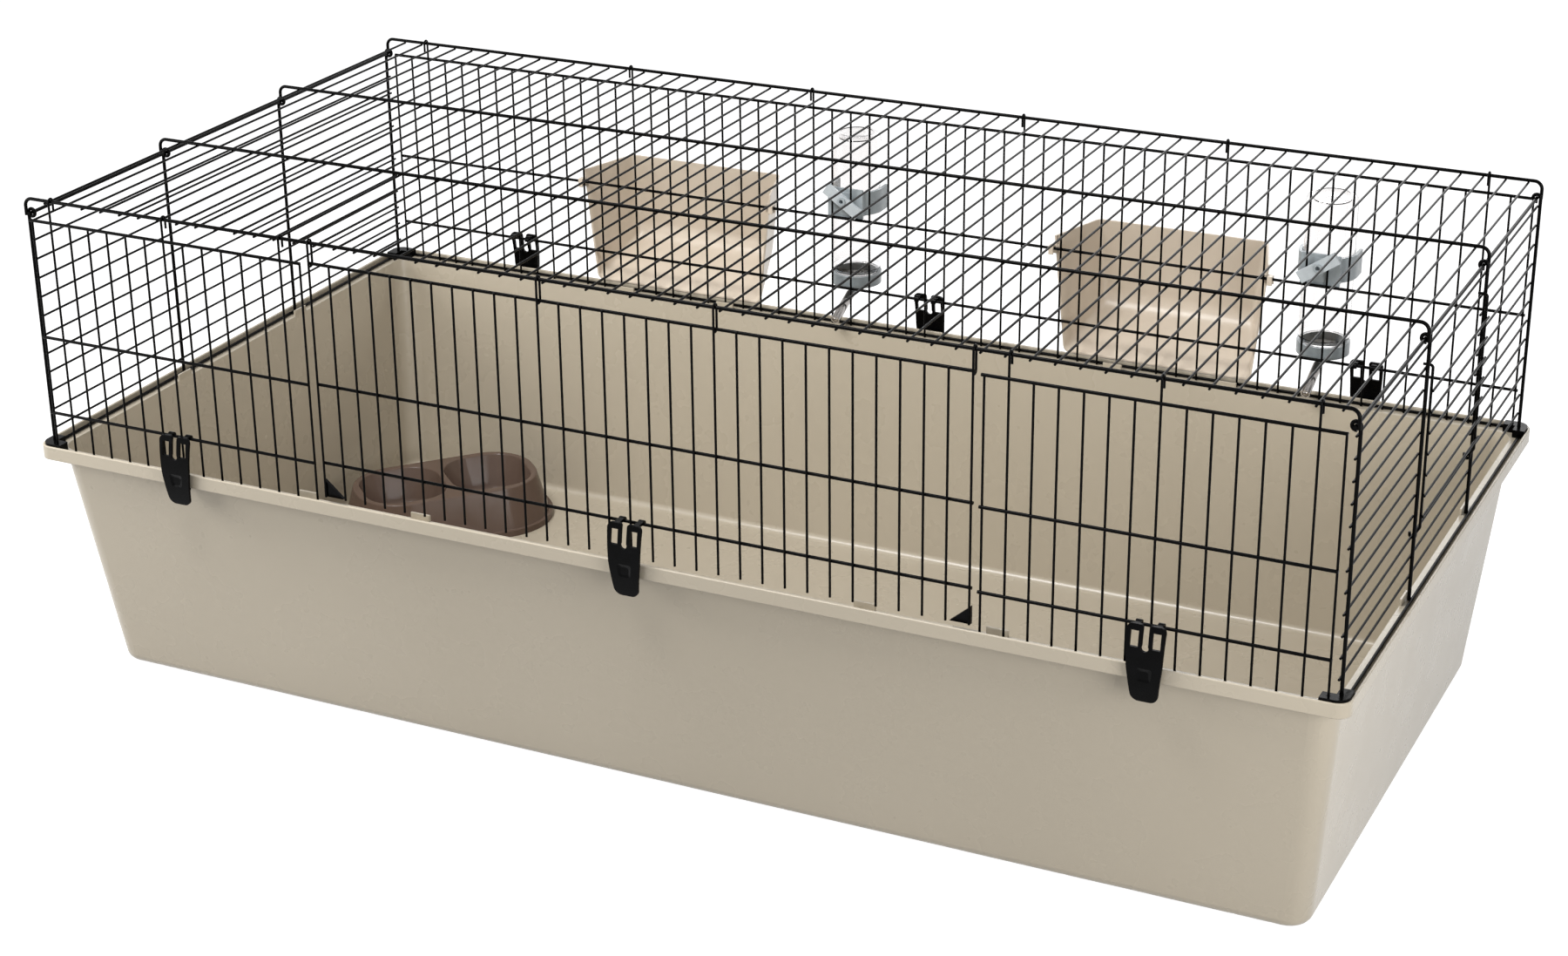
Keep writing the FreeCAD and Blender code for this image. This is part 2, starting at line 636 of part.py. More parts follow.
def rack_block(inset, spill):
    """The bin's outline moved in by a wall, run on past its open top and front by the spill."""
    low = RIM_TOP + RACK_BOTTOM_RISE + inset
    high = RIM_TOP + RACK_TOP_RISE + spill
    y0 = RACK_Y - spill
    y1 = RACK_Y + RACK_DEPTH - inset
    foot = Vec(0, RACK_Y, low)
    knee = Vec(0, y1, RIM_TOP + RACK_KNEE_RISE + inset)
    back = Vec(0, y1, high)
    start, middle, end = corner_arc(foot, knee, back, RACK_KNEE_ROUND - inset)
    corners = [end, back, Vec(0, y0, high), Vec(0, y0, low), foot, start]
    edges = [Part.Arc(start, middle, end).toShape()]
    for a, b in zip(corners, corners[1:]):
        if (b - a).Length > 1e-6:
            edges.append(Part.LineSegment(a, b).toShape())
    half = rack_half() - inset
    profile = Part.Face(Part.Wire(edges))
    profile.translate(Vec(-half - RACK_DEPTH, 0, 0))
    walls = Part.makeLoft([rack_plan(half, y0, RIM_TOP), rack_plan(half, y0, high)], True, True)
    block = profile.extrude(Vec(2 * (half + RACK_DEPTH), 0, 0)).common(walls)
    return block.makeFillet(RACK_CORNER - inset, rear_corners(block, y1))


def rear_corners(block, y):
    """The bin's two upright edges in its rear face."""
    ends = [(e, e.Vertexes[0].Point, e.Vertexes[-1].Point) for e in block.Edges]
    rear = [(e, a, b) for e, a, b in ends if abs(a.y - y) < 1e-6 and abs(b.y - y) < 1e-6]
    return [e for e, a, b in rear if abs(a.z - b.z) > 1e-6]


def rack_half():
    return RACK_HOOK_GAPS * PITCH - RACK_HOOK_WIDTH / 2 - RACK_HOOK_CLEAR


def make_rack(x):
    """An open-topped hay bin, open to the wires, that hangs on the back panel's middle bar."""
    pieces = []
    bar_top = MID_BAR + BAR_R + RUN
    behind = BAR_OUT - BAR_R - RUN
    half_hook = RACK_HOOK_WIDTH / 2
    for side in (-1, 1):
        x_hook = side * RACK_HOOK_GAPS * PITCH
        x_wall = side * (rack_half() - 2 * RACK_WALL)
        x0 = min(x_hook - half_hook, x_wall)
        x1 = max(x_hook + half_hook, x_wall)
        top = bar_top + RACK_HOOK_WALL
        hook0 = x_hook - half_hook
        hook1 = x_hook + half_hook
        pieces.append(box(x0, x1, RACK_Y, RACK_Y + RACK_HOOK_WALL, MID_BAR - RACK_HOOK_DROP, top))
        pieces.append(box(hook0, hook1, behind - RACK_HOOK_WALL, RACK_Y, bar_top, top))
        pieces.append(box(hook0, hook1, behind - RACK_HOOK_WALL, behind, MID_BAR - RACK_HOOK_DROP, bar_top))
    shell = rack_block(0, 0).cut(rack_block(RACK_WALL, RACK_WALL))
    rack = shell.fuse(pieces).removeSplitter()
    rack.translate(Vec(x, 0, 0))
    return rack


def revolved(points, x, y):
    profile = [Vec(r, 0, z) for r, z in points]
    face = Part.Face(Part.makePolygon(profile + [profile[0]]))
    solid = face.revolve(Vec(0, 0, 0), Vec(0, 0, 1), 360)
    solid.translate(Vec(x, y, 0))
    return solid


def bottle_axis_y():
    return bracket_plate_inner() + BRACKET_PLATE_WALL + BRACKET_CLEAR + BOTTLE_DIAMETER / 2


def bracket_plate_inner():
    return BAR_OUT + BAR_R + BRACKET_STANDOFF


def neck_foot():
    return CAP_BOTTOM + CAP_FLOOR + SEAL_THICKNESS


def crowned(points, radius, top, crown, x):
    """A turned solid on a bottle's axis whose top outer edge is rounded."""
    solid = revolved(points, x, bottle_axis_y())
    ring = [e for e in level_edges(solid, top) if abs(e.BoundBox.XLength - 2 * radius) < 1e-3]
    return solid.makeFillet(crown, ring)


def make_bottle(x):
    r = BOTTLE_DIAMETER / 2
    neck = BOTTLE_NECK_DIAMETER / 2
    dimple = BOTTLE_DIMPLE_DIAMETER / 2
    w = BOTTLE_WALL
    foot = neck_foot()
    shoulder = CAP_TOP + NECK_CLEAR
    chest = shoulder + BOTTLE_SHOULDER
    pit = BOTTLE_TOP - BOTTLE_DIMPLE_DEPTH
    lower = [(0, foot), (neck, foot), (neck, shoulder), (r, chest), (r, BOTTLE_TOP)]
    upper = [(dimple, BOTTLE_TOP), (dimple, pit), (0, pit)]
    outer = crowned(lower + upper, r, BOTTLE_TOP, BOTTLE_CROWN, x)
    inner_top = BOTTLE_TOP - w
    lower = [(0, foot), (neck - w, foot), (neck - w, shoulder + w), (r - w, chest + w), (r - w, inner_top)]
    upper = [(dimple + w, inner_top), (dimple + w, pit - w), (0, pit - w)]
    inner = crowned(lower + upper, r - w, inner_top, BOTTLE_CROWN - w, x)
    return outer.cut(inner)


def nozzle_elbow(x):
    return Vec(x, bottle_axis_y(), CAP_BOTTOM - NOZZLE_STUB)


def spout_tip(x):
    return Vec(x, bottle_axis_y() - SPOUT_REACH, RIM_TOP + SPOUT_TIP_RISE)


def spout_direction(x):
    return (spout_tip(x) - nozzle_elbow(x)).normalize()


def nozzle_end(x):
    return nozzle_elbow(x) + spout_direction(x) * NOZZLE_LENGTH


def make_cap(x):
    """A cup on the bottle's neck and the bent nozzle that is bonded into its floor."""
    r = CAP_DIAMETER / 2
    bore = BOTTLE_NECK_DIAMETER / 2 + NECK_CLEAR
    hole = NOZZLE_DIAMETER / 2
    low = CAP_BOTTOM
    floor = low + CAP_FLOOR
    points = [(hole, low), (r, low), (r, CAP_TOP), (bore, CAP_TOP), (bore, floor), (hole, floor)]
    cup = revolved(points, x, bottle_axis_y())
    route = [Vec(x, bottle_axis_y(), floor), nozzle_elbow(x), nozzle_end(x)]
    nozzle = bent_wire(route, NOZZLE_BEND, NOZZLE_DIAMETER / 2)
    return [cup, nozzle.cut(bent_wire(route, NOZZLE_BEND, NOZZLE_BORE / 2))]


def make_seal(x):
    r = BOTTLE_NECK_DIAMETER / 2
    low = CAP_BOTTOM + CAP_FLOOR
    hole = NOZZLE_BORE / 2 + RUN
    points = [(hole, low), (r, low), (r, low + SEAL_THICKNESS), (hole, low + SEAL_THICKNESS)]
    return revolved(points, x, bottle_axis_y())


def make_spout(x):
    """A straight tube pressed over the nozzle, with a lip at its tip that holds the ball."""
    along = spout_direction(x)
    start = nozzle_end(x) - along * SPOUT_OVERLAP
    tip = spout_tip(x)
    tube = straight_wire(start, tip, SPOUT_DIAMETER / 2)
    tube = tube.cut(straight_wire(start, tip - along * SPOUT_LIP, NOZZLE_DIAMETER / 2))
    return tube.cut(straight_wire(start, tip, SPOUT_MOUTH / 2))


def make_ball(x):
    """A ball that rests just behind the spout's lip."""
    r = BALL_DIAMETER / 2
    behind = SPOUT_LIP + BALL_CLEAR + math.sqrt(r ** 2 - (SPOUT_MOUTH / 2) ** 2)
    return Part.makeSphere(r, spout_tip(x) - spout_direction(x) * behind)


def make_bracket(x):
    y_axis = bottle_axis_y()
    bore = BOTTLE_DIAMETER / 2 + BRACKET_CLEAR
    rim = bore + BRACKET_RING_WALL
    low = MID_BAR + BRACKET_RING_RISE
    high = low + BRACKET_RING_HEIGHT
    ring = Part.makeCylinder(rim, BRACKET_RING_HEIGHT, Vec(x, y_axis, low))
    ring = ring.cut(box(x - rim, x + rim, y_axis, y_axis + rim, low, high))
    arms = [box(x + bore, x + rim, y_axis, y_axis + BRACKET_ARM, low, high)]
    arms.append(box(x - rim, x - bore, y_axis, y_axis + BRACKET_ARM, low, high))
    half = BRACKET_PLATE_WIDTH / 2
    y0 = bracket_plate_inner()
    plate_low = MID_BAR + BRACKET_PLATE_RISE
    plate_top = plate_low + BRACKET_PLATE_HEIGHT
    plate = box(x - half, x + half, y0, y0 + BRACKET_PLATE_WALL, plate_low, plate_top)
    saddle = box(x - half, x + half, y0, y_axis, low, high)
    solid = plate.fuse([saddle, ring] + arms)
    solid = solid.cut(Part.makeCylinder(bore, ROOF_AXIS, Vec(x, y_axis, 0)))
    y_head = y0 + BRACKET_PLATE_WALL - PIN_HEAD
    rooms = [
        rod_through(x, y0, y_axis, PIN_DIAMETER),
        rod_through(x, y_head, y_axis, PIN_HEAD_DIAMETER),
    ]
    return solid.cut(rooms).removeSplitter()


def rod_through(x, y0, y1, diameter):
    """A rod along Y on the cross-piece's pivot."""
    return Part.makeCylinder(diameter / 2, y1 - y0, Vec(x, y0, BUTTON_Z), Vec(0, 1, 0))


def button_face():
    return MESH_OUT - MESH_R - BUTTON_CLEAR


def make_button(x, tilt):
    """The turning cross-piece inside the wires that holds the bracket."""
    y1 = button_face()
    y0 = y1 - BUTTON_WALL
    half = BUTTON_LENGTH / 2
    bar = box(x - half, x + half, y0, y1, BUTTON_Z - BUTTON_WIDTH / 2, BUTTON_Z + BUTTON_WIDTH / 2)
    bar = bar.cut(rod_through(x, y0, y1, PIN_DIAMETER + 2 * PIN_RUN))
    bar.rotate(Vec(x, 0, BUTTON_Z), Vec(0, 1, 0), tilt)
    return bar


def make_pin(x):
    """The hollow-ended rivet that joins the bracket to its cross-piece between two wires."""
    y0 = button_face() - BUTTON_WALL - RUN
    y1 = bracket_plate_inner() + BRACKET_PLATE_WALL
    shank = rod_through(x, y0, y1, PIN_DIAMETER)
    inner_head = rod_through(x, y0 - PIN_HEAD, y0, PIN_HEAD_DIAMETER)
    outer_head = rod_through(x, y1 - PIN_HEAD, y1, PIN_HEAD_DIAMETER)
    hollow = rod_through(x, y0 - PIN_HEAD, y0 - PIN_HEAD + PIN_BORE_DEPTH, PIN_BORE)
    return shank.fuse([inner_head, outer_head]).cut(hollow).removeSplitter()


def bowl_wells(wall):
    """The two wells, grown by a wall."""
    floor = BOWL_HEIGHT - BOWL_WELL_DEPTH - wall
    bottom = BOWL_WELL_FLOOR + 2 * wall
    low = (bottom, bottom, BOWL_FLOOR_CORNER + wall, floor)
    length = BOWL_WELL_LENGTH + 2 * wall
    width = BOWL_WELL_WIDTH + 2 * wall
    high = (length, width, BOWL_WELL_CORNER + wall, BOWL_HEIGHT)
    wells = []
    for side in (-1, 1):
        well = tapered_block(low, high)
        well = well.makeFillet(BOWL_WELL_FILLET + wall, level_edges(well, floor))
        well.translate(Vec(side * BOWL_WELL_PITCH / 2, 0, 0))
        wells.append(well)
    return wells


def bowl_block(wall):
    """The bowl's outer form, drawn in by a wall and open at the bottom."""
    length = BOWL_LENGTH - 2 * wall
    width = BOWL_WIDTH - 2 * wall
    top_length = BOWL_TOP_LENGTH - 2 * wall
    top_width = BOWL_TOP_WIDTH - 2 * wall
    base = (length, width, BOWL_CORNER - wall, BOWL_LIP_HEIGHT)
    top = (top_length, top_width, BOWL_TOP_CORNER - wall, BOWL_HEIGHT - wall)
    return tapered_block(base, top)


def make_bowl():
    """A double bowl whose skirt and two wells are one thin wall, open underneath."""
    lip_length = BOWL_LENGTH + 2 * BOWL_LIP
    lip_width = BOWL_WIDTH + 2 * BOWL_LIP
    lip = rounded_prism(lip_length, lip_width, BOWL_CORNER + BOWL_LIP, 0, BOWL_LIP_HEIGHT)
    room_length = BOWL_LENGTH - 2 * BOWL_WALL
    room_width = BOWL_WIDTH - 2 * BOWL_WALL
    room = rounded_prism(room_length, room_width, BOWL_CORNER - BOWL_WALL, 0, BOWL_LIP_HEIGHT)
    body = bowl_block(0).fuse(lip).cut(bowl_wells(0))
    body = body.makeFillet(BOWL_EDGE, level_edges(body, BOWL_HEIGHT))
    hollow = bowl_block(BOWL_WALL).fuse(room).cut(bowl_wells(BOWL_WALL))
    body = body.cut(hollow).removeSplitter()
    body.rotate(Vec(0, 0, 0), Vec(0, 0, 1), BOWL_TURN)
    body.translate(Vec(BOWL_FROM_LEFT - TRAY_LENGTH / 2, TRAY_WIDTH / 2 - BOWL_FROM_BACK, TRAY_WALL))
    return body


def clip_places():
    side = (SIDE_PANEL_GAPS / 2 + DOOR_GAPS / 2) * PITCH + DOOR_GAP
    back = [gaps * PITCH for gaps in BACK_CLIP_GAPS]
    return {
        "clip_front_left": (-side, -1, BAR_OUT),
        "clip_front_center": (0.0, -1, DOOR_BAR_OUT),
        "clip_front_right": (side, -1, BAR_OUT),
        "clip_back_left": (back[0], 1, BAR_OUT),
        "clip_back_center": (back[1], 1, BAR_OUT),
        "clip_back_right": (back[2], 1, BAR_OUT),
    }


def build_parts():
    left_first = -(SIDE_PANEL_GAPS + DOOR_GAPS / 2) * PITCH - DOOR_GAP
    right_first = DOOR_GAPS / 2 * PITCH + DOOR_GAP
    back_first = -BACK_GAPS / 2 * PITCH
    parts = {
        "tray": make_tray(),
        "roof_panel": make_roof(),
        "left_end_panel": make_end_panel(-1, False),
        "right_end_panel": make_end_panel(1, True),
        "end_door": make_end_door(),
        "front_left_panel": make_fixed_panel(-1, left_first, SIDE_PANEL_GAPS, SIDE_HOOKS),
        "front_right_panel": make_fixed_panel(-1, right_first, SIDE_PANEL_GAPS, SIDE_HOOKS),
        "back_panel": make_fixed_panel(1, back_first, BACK_GAPS, BACK_HOOKS),
        "front_door": make_front_door(),
        "door_gusset_left": make_gusset(-1),
        "door_gusset_right": make_gusset(1),
        "connector_front_left": make_connector(-1, -1),
        "connector_front_right": make_connector(1, -1),
        "connector_back_left": make_connector(-1, 1),
        "connector_back_right": make_connector(1, 1),
        "food_bowl": make_bowl(),
    }
    for name, place in clip_places().items():
        parts[name] = make_clip(*place)
    for hand, gaps in zip(("left", "right"), RACK_GAPS):
        parts["hay_rack_" + hand] = make_rack(gaps * PITCH)
    for hand, gaps, tilt in zip(("left", "right"), BOTTLE_GAPS, BUTTON_TILTS):
        x = gaps * PITCH
        parts["bottle_" + hand] = make_bottle(x)
        parts["bottle_cap_" + hand] = make_cap(x)
        parts["cap_seal_" + hand] = make_seal(x)
        parts["spout_" + hand] = make_spout(x)
        parts["spout_ball_" + hand] = make_ball(x)
        parts["bottle_bracket_" + hand] = make_bracket(x)
        parts["turn_button_" + hand] = make_button(x, tilt)
        parts["bracket_pin_" + hand] = make_pin(x)
    return parts


def main():
    os.makedirs("parts", exist_ok=True)
    for name, shape in build_parts().items():
        if isinstance(shape, list):
            shape = Part.makeCompound(shape)
        solids = shape.Solids
        valid = all(s.isValid() and s.Volume > 0 for s in solids)
        print(f"{name}: {len(solids)} solids, {shape.Volume:.0f} mm3, valid {valid}")
        shape.exportStep(os.path.join("parts", name + ".step"))


main()
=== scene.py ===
import json
import math

import bpy
from mathutils import Matrix, Vector

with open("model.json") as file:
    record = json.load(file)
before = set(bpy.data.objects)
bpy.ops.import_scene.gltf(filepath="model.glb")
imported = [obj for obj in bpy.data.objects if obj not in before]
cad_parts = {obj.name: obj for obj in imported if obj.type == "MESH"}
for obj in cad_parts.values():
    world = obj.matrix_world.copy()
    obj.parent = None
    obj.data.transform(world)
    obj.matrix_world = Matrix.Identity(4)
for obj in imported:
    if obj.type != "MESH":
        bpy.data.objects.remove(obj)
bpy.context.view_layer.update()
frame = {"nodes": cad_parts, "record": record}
nodes = frame["nodes"]

# Camera, fitted to the rim's and the wire top's corners in the photograph
CAMERA_PLACE = (1.39372, -2.87390, 1.62039)
CAMERA_AZIMUTH = 25.93
CAMERA_TILT = 23.37
CAMERA_ROLL = -0.57
CAMERA_LENS = 68.18
CAMERA_REACH = 200.0
SENSOR_WIDTH = 36.0

# Lamps: name, place, size, power
LAMP_TARGET = (0.0, 0.0, 0.25)
LAMPS = (
    ("key_lamp", (-0.60, -0.85, 2.35), (1.4, 0.8), 63.0),
    ("left_lamp", (-1.7, -1.1, 0.8), (0.9, 0.9), 17.0),
    ("right_lamp", (1.85, -1.25, 0.65), (0.9, 0.9), 22.0),
    ("back_lamp", (0.3, 2.0, 1.3), (1.6, 0.9), 14.0),
)

# Floor and surroundings, white to the eye and plain in the light that they give
WHITE = (1.0, 1.0, 1.0, 1.0)
WORLD_LEVEL = 0.30
WORLD_SEEN = 1.0
FLOOR_SIZE = 60.0
FLOOR_COLOUR = (0.34, 0.34, 0.34, 1.0)
FLOOR_ROUGHNESS = 0.9
FLOOR_SPECULAR = 0.1
FLOOR_GLOW = 0.90

# What the finishes share: levels of a pattern, depth of the grain in metres, refraction
CLOUD_SPAN = (0.35, 0.7)
ROUGH_SPAN = (0.3, 0.75)
GRAIN_DEPTH = 0.0003
GRAIN_DETAIL = 2.0
EDGE_SAMPLES = 4
PLASTIC_IOR = 1.5
CLEAR_IOR = 1.46

# Clear plastic: colour of its surface, and how its thickness greys the light
CLEAR_COLOUR = (0.985, 0.975, 0.97, 1.0)
CLEAR_TINT = (0.80, 0.80, 0.82, 1.0)
CLEAR_DENSITY = 105.0


def srgb(red, green, blue):
    """A colour written as the eight-bit values seen on a screen, as linear light."""
    def linear(value):
        share = value / 255.0
        if share <= 0.04045:
            return share / 12.92
        return ((share + 0.055) / 1.055) ** 2.4
    return (linear(red), linear(green), linear(blue), 1.0)


class Shader:
    """A node material with short calls for the parts that every finish here shares."""

    def __init__(self, name):
        self.material = bpy.data.materials.new(name)
        self.material.use_nodes = True
        self.tree = self.material.node_tree
        self.surface = self.tree.nodes["Principled BSDF"]
        self.coords = self.add("ShaderNodeTexCoord").outputs["Object"]

    def add(self, kind, **settings):
        node = self.tree.nodes.new(kind)
        for key, value in settings.items():
            setattr(node, key, value)
        return node

    def link(self, source, target):
        self.tree.links.new(source, target)

    def set(self, **values):
        for name, value in values.items():
            self.surface.inputs[name.replace("_", " ")].default_value = value

    def noise(self, scale, detail=3.0, roughness=0.55, stretch=None):
        """A noise pattern in the object's own metres, drawn out along an axis if asked."""
        node = self.add("ShaderNodeTexNoise")
        node.inputs["Scale"].default_value = scale
        node.inputs["Detail"].default_value = detail
        node.inputs["Roughness"].default_value = roughness
        source = self.coords
        if stretch:
            mapping = self.add("ShaderNodeMapping")
            mapping.inputs["Scale"].default_value = stretch
            self.link(source, mapping.inputs["Vector"])
            source = mapping.outputs["Vector"]
        self.link(source, node.inputs["Vector"])
        return node.outputs["Fac"]

    def ramp(self, pattern, span, low, high):
        """A pattern's span of levels stretched into a range of numbers."""
        node = self.add("ShaderNodeMapRange")
        node.inputs["From Min"].default_value = span[0]
        node.inputs["From Max"].default_value = span[1]
        node.inputs["To Min"].default_value = low
        node.inputs["To Max"].default_value = high
        self.link(pattern, node.inputs["Value"])
        return node.outputs["Result"]

    def mix(self, first, second, pattern, span=CLOUD_SPAN, most=1.0):
        """A second colour laid over a colour or a socket, by a pattern and up to the most given."""
        node = self.add("ShaderNodeMix", data_type="RGBA")
        self.link(self.ramp(pattern, span, 0.0, most), node.inputs["Factor"])
        sockets = [s for s in node.inputs if s.type == "RGBA"]
        for value, socket in zip((first, second), sockets):
            if isinstance(value, tuple):
                socket.default_value = value
            else:
                self.link(value, socket)
        return [s for s in node.outputs if s.type == "RGBA"][0]

    def colour(self, socket):
        self.link(socket, self.surface.inputs["Base Color"])

    def rough(self, pattern, smooth, dull):
        """Roughness that follows a pattern."""
        self.link(self.ramp(pattern, ROUGH_SPAN, smooth, dull), self.surface.inputs["Roughness"])

    def bump(self, height, strength, depth=GRAIN_DEPTH, soften=0.0):
        """Relief from a pattern, over edges softened by a small radius."""
        node = self.add("ShaderNodeBump")
        node.inputs["Strength"].default_value = strength
        node.inputs["Distance"].default_value = depth
        self.link(height, node.inputs["Height"])
        if soften:
            edge = self.add("ShaderNodeBevel", samples=EDGE_SAMPLES)
            edge.inputs["Radius"].default_value = soften
            self.link(edge.outputs["Normal"], node.inputs["Normal"])
        self.link(node.outputs["Normal"], self.surface.inputs["Normal"])

    def grain(self, scale, strength, soften=0.0):
        """Fine relief of a moulded or coated surface."""
        self.bump(self.noise(scale, detail=GRAIN_DETAIL), strength, soften=soften)


def moulded_plastic(name, pale, deep, scuff, rough, soften):
    """Satin injection-moulded plastic: cloudy pigment, flow marks, dull scuffs, fine grain."""
    s = Shader(name)
    cloud = s.noise(3.0, detail=1.0)
    flow = s.noise(26.0, roughness=0.6, stretch=(0.25, 0.25, 1.6))
    rub = s.noise(70.0, detail=5.0, roughness=0.72, stretch=(1.0, 1.0, 0.2))
    body = s.mix(pale, deep, cloud, span=(0.30, 0.70))
    body = s.mix(body, deep, flow, span=(0.56, 0.74), most=0.25)
    s.colour(s.mix(body, scuff, rub, span=(0.66, 0.76), most=0.14))
    s.rough(s.noise(18.0), rough - 0.02, rough + 0.02)
    s.grain(800.0, strength=0.05, soften=soften)
    s.set(IOR=PLASTIC_IOR)
    return s.material


def coated_wire():
    """Black coating over drawn wire: satin, slightly uneven, with greyer worn spots."""
    s = Shader("coated_wire")
    wear = s.noise(55.0, detail=4.0, roughness=0.7)
    s.colour(s.mix(srgb(5, 5, 5), srgb(18, 18, 17), wear, span=(0.60, 0.80), most=0.7))
    s.rough(s.noise(240.0), 0.14, 0.26)
    s.grain(900.0, strength=0.12)
    s.set(IOR=PLASTIC_IOR, Specular_IOR_Level=0.04)
    return s.material


def black_plastic():
    """Black moulded plastic of the clips, gussets and connectors, rubbed grey in small streaks."""
    s = Shader("black_plastic")
    cloud = s.noise(60.0, detail=4.0)
    rub = s.noise(420.0, detail=4.0, roughness=0.7, stretch=(1.0, 1.0, 0.3))
    body = s.mix(srgb(3, 3, 3), srgb(6, 6, 7), cloud, span=(0.4, 0.7))
    s.colour(s.mix(body, srgb(24, 24, 24), rub, span=(0.66, 0.76), most=0.3))
    s.rough(s.noise(180.0), 0.18, 0.30)
    s.grain(1600.0, strength=0.08, soften=0.0007)
    s.set(IOR=PLASTIC_IOR, Specular_IOR_Level=0.05)
    return s.material


def bowl_plastic():
    """Thick glossy plastic with a soft sheen and small pale flecks."""
    s = Shader("bowl_plastic")
    fleck = s.noise(520.0, roughness=0.7)
    body = s.mix(srgb(97, 80, 70), srgb(92, 76, 66), s.noise(14.0))
    s.colour(s.mix(body, srgb(120, 101, 91), fleck, span=(0.66, 0.78), most=0.20))
    s.rough(s.noise(70.0), 0.11, 0.17)
    s.grain(1300.0, strength=0.03, soften=0.0015)
    s.set(IOR=PLASTIC_IOR, Specular_IOR_Level=0.20)
    return s.material


def clear_plastic():
    """Clear blown plastic, faintly rippled."""
    s = Shader("clear_plastic")
    s.set(Base_Color=CLEAR_COLOUR, IOR=CLEAR_IOR, Transmission_Weight=1.0)
    s.rough(s.noise(60.0), 0.0, 0.03)
    ripple = s.noise(38.0, detail=2.0, roughness=0.5, stretch=(1.0, 1.0, 0.35))
    s.bump(ripple, strength=0.05, depth=0.001)
    tint = s.add("ShaderNodeVolumeAbsorption")
    tint.inputs["Color"].default_value = CLEAR_TINT
    tint.inputs["Density"].default_value = CLEAR_DENSITY
    output = s.tree.nodes["Material Output"]
    s.link(tint.outputs["Volume"], output.inputs["Volume"])
    return s.material


def holder_plastic(name, pale, deep):
    """Satin coloured plastic of the caps, brackets and cross-pieces."""
    s = Shader(name)
    rub = s.noise(600.0, detail=4.0, roughness=0.7)
    body = s.mix(pale, deep, s.noise(90.0, detail=4.0))
    s.colour(s.mix(body, srgb(206, 210, 214), rub, span=(0.65, 0.78), most=0.4))
    s.rough(s.noise(200.0), 0.26, 0.40)
    s.grain(1800.0, strength=0.08, soften=0.0006)
    s.set(IOR=PLASTIC_IOR)
    return s.material


def polished_steel():
    """Polished tube with fine drawing lines along it."""
    s = Shader("polished_steel")
    lines = s.noise(500.0, roughness=0.6, stretch=(1.0, 0.05, 0.12))
    s.colour(s.mix(srgb(176, 172, 169), srgb(150, 146, 143), lines))
    s.rough(lines, 0.16, 0.26)
    s.bump(lines, strength=0.03, depth=0.0001)
    s.set(Metallic=1.0)
    return s.material


def seal_rubber():
    """Dull grey rubber of the washers in the caps."""
    s = Shader("seal_rubber")
    s.colour(s.mix(srgb(150, 150, 148), srgb(126, 126, 124), s.noise(300.0, detail=4.0)))
    s.rough(s.noise(500.0), 0.6, 0.75)
    s.grain(1600.0, strength=0.2)
    return s.material


# One finish for each material slot
finishes = {
    "tray_plastic": moulded_plastic(
        "tray_plastic", pale=srgb(178, 168, 150), deep=srgb(174, 164, 146), scuff=srgb(186, 177, 160),
        rough=0.28, soften=0.0014),
    "rack_plastic": moulded_plastic(
        "rack_plastic", pale=srgb(209, 196, 179), deep=srgb(203, 189, 171), scuff=srgb(217, 206, 191),
        rough=0.33, soften=0.0010),
    "bowl_plastic": bowl_plastic(),
    "black_wire": coated_wire(),
    "black_plastic": black_plastic(),
    "clear_plastic": clear_plastic(),
    "cap_plastic": holder_plastic("cap_plastic", srgb(138, 145, 148), srgb(126, 133, 136)),
    # Holder and button are one plastic; the holder's darker colours below are painted shade, the
    # button's are the plastic's own colour
    "holder_plastic": holder_plastic("holder_plastic", srgb(164, 172, 176), srgb(152, 160, 164)),
    "button_plastic": holder_plastic("button_plastic", srgb(188, 195, 199), srgb(178, 185, 189)),
    "seal_rubber": seal_rubber(),
    "spout_steel": polished_steel(),
}
for subpart in frame["record"]["subparts"]:
    mesh = nodes[subpart["node"]].data
    mesh.materials.clear()
    mesh.materials.append(finishes[subpart["material_slot"]])


def seen_directly(tree):
    """One where the camera sees a surface straight, mirrored or through glass, else nought."""
    path = tree.nodes.new("ShaderNodeLightPath")
    total = path.outputs["Is Camera Ray"]
    for ray in ("Is Glossy Ray", "Is Transmission Ray"):
        either = tree.nodes.new("ShaderNodeMath")
        either.operation = "MAXIMUM"
        tree.links.new(total, either.inputs[0])
        tree.links.new(path.outputs[ray], either.inputs[1])
        total = either.outputs[0]
    return total


def add_floor():
    """A plain floor that looks white and keeps the object's shadow."""
    half = FLOOR_SIZE / 2
    mesh = bpy.data.meshes.new("floor")
    corners = [(-half, -half, 0.0), (half, -half, 0.0), (half, half, 0.0), (-half, half, 0.0)]
    mesh.from_pydata(corners, [], [(0, 1, 2, 3)])
    floor = bpy.data.objects.new("floor", mesh)
    bpy.context.scene.collection.objects.link(floor)
    s = Shader("floor")
    s.set(Base_Color=FLOOR_COLOUR, Roughness=FLOOR_ROUGHNESS, Specular_IOR_Level=FLOOR_SPECULAR)
    s.set(Emission_Color=WHITE)
    glow = s.add("ShaderNodeMath", operation="MULTIPLY")
    s.link(seen_directly(s.tree), glow.inputs[0])
    glow.inputs[1].default_value = FLOOR_GLOW
    s.link(glow.outputs[0], s.surface.inputs["Emission Strength"])
    mesh.materials.append(s.material)


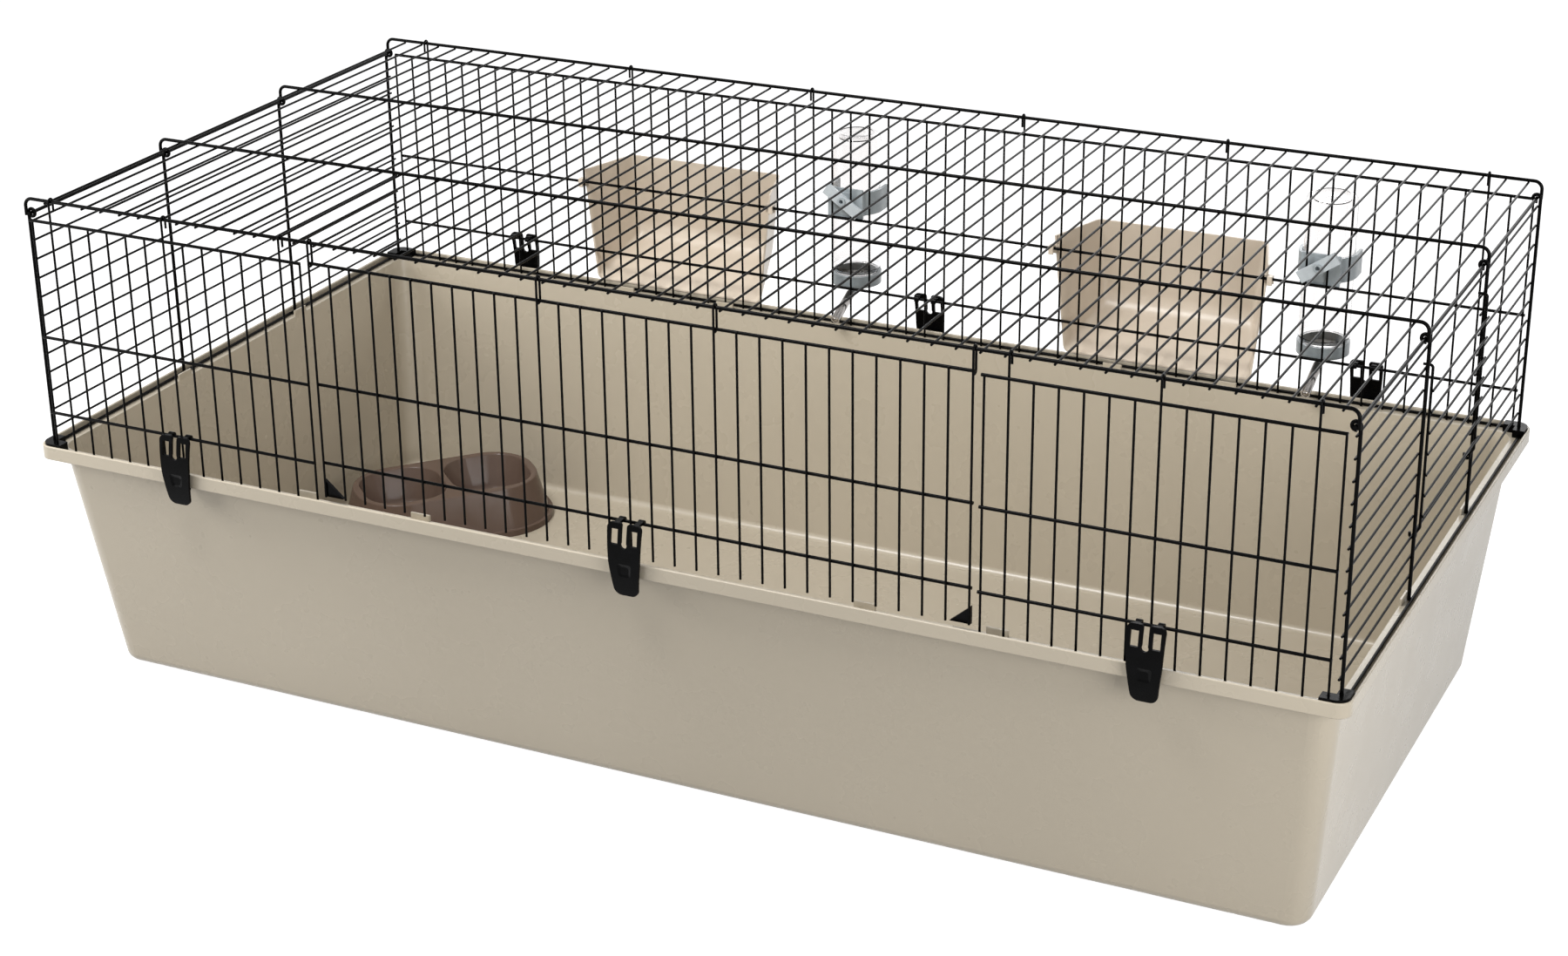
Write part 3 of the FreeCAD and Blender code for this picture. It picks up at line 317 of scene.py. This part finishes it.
def add_world():
    """White surroundings that light the object at a plain level."""
    world = bpy.data.worlds.new("studio")
    world.use_nodes = True
    bpy.context.scene.world = world
    tree = world.node_tree
    sky = tree.nodes["Background"]
    sky.inputs["Color"].default_value = WHITE
    level = tree.nodes.new("ShaderNodeMapRange")
    level.inputs["To Min"].default_value = WORLD_LEVEL
    level.inputs["To Max"].default_value = WORLD_SEEN
    tree.links.new(seen_directly(tree), level.inputs["Value"])
    tree.links.new(level.outputs["Result"], sky.inputs["Strength"])


def add_lamps():
    """Soft rectangular lamps, all turned to the middle of the object."""
    for name, place, size, power in LAMPS:
        lamp = bpy.data.lights.new(name, "AREA")
        lamp.shape = "RECTANGLE"
        lamp.size, lamp.size_y = size
        lamp.energy = power
        thing = bpy.data.objects.new(name, lamp)
        thing.location = place
        aim = Vector(LAMP_TARGET) - Vector(place)
        thing.rotation_euler = aim.to_track_quat("-Z", "Y").to_euler()
        bpy.context.scene.collection.objects.link(thing)


def add_camera():
    """The camera, turned by its azimuth and tilt and then rolled about its line of sight."""
    azimuth, tilt, roll = (math.radians(v) for v in (CAMERA_AZIMUTH, CAMERA_TILT, CAMERA_ROLL))
    level = Vector((math.cos(azimuth), math.sin(azimuth), 0.0))
    forward = Vector((-math.sin(azimuth), math.cos(azimuth), 0.0))
    ahead = forward * math.cos(tilt) - Vector((0.0, 0.0, math.sin(tilt)))
    up = level.cross(ahead)
    right = level * math.cos(roll) + up * math.sin(roll)
    above = up * math.cos(roll) - level * math.sin(roll)
    camera = bpy.data.cameras.new("camera")
    camera.lens = CAMERA_LENS
    camera.sensor_width = SENSOR_WIDTH
    camera.clip_end = CAMERA_REACH
    thing = bpy.data.objects.new("camera", camera)
    turn = Matrix((right, above, -ahead)).transposed().to_4x4()
    thing.matrix_world = Matrix.Translation(Vector(CAMERA_PLACE)) @ turn
    bpy.context.scene.collection.objects.link(thing)
    bpy.context.scene.camera = thing


add_floor()
add_world()
add_lamps()
add_camera()
bpy.context.scene.view_settings.view_transform = "Standard"
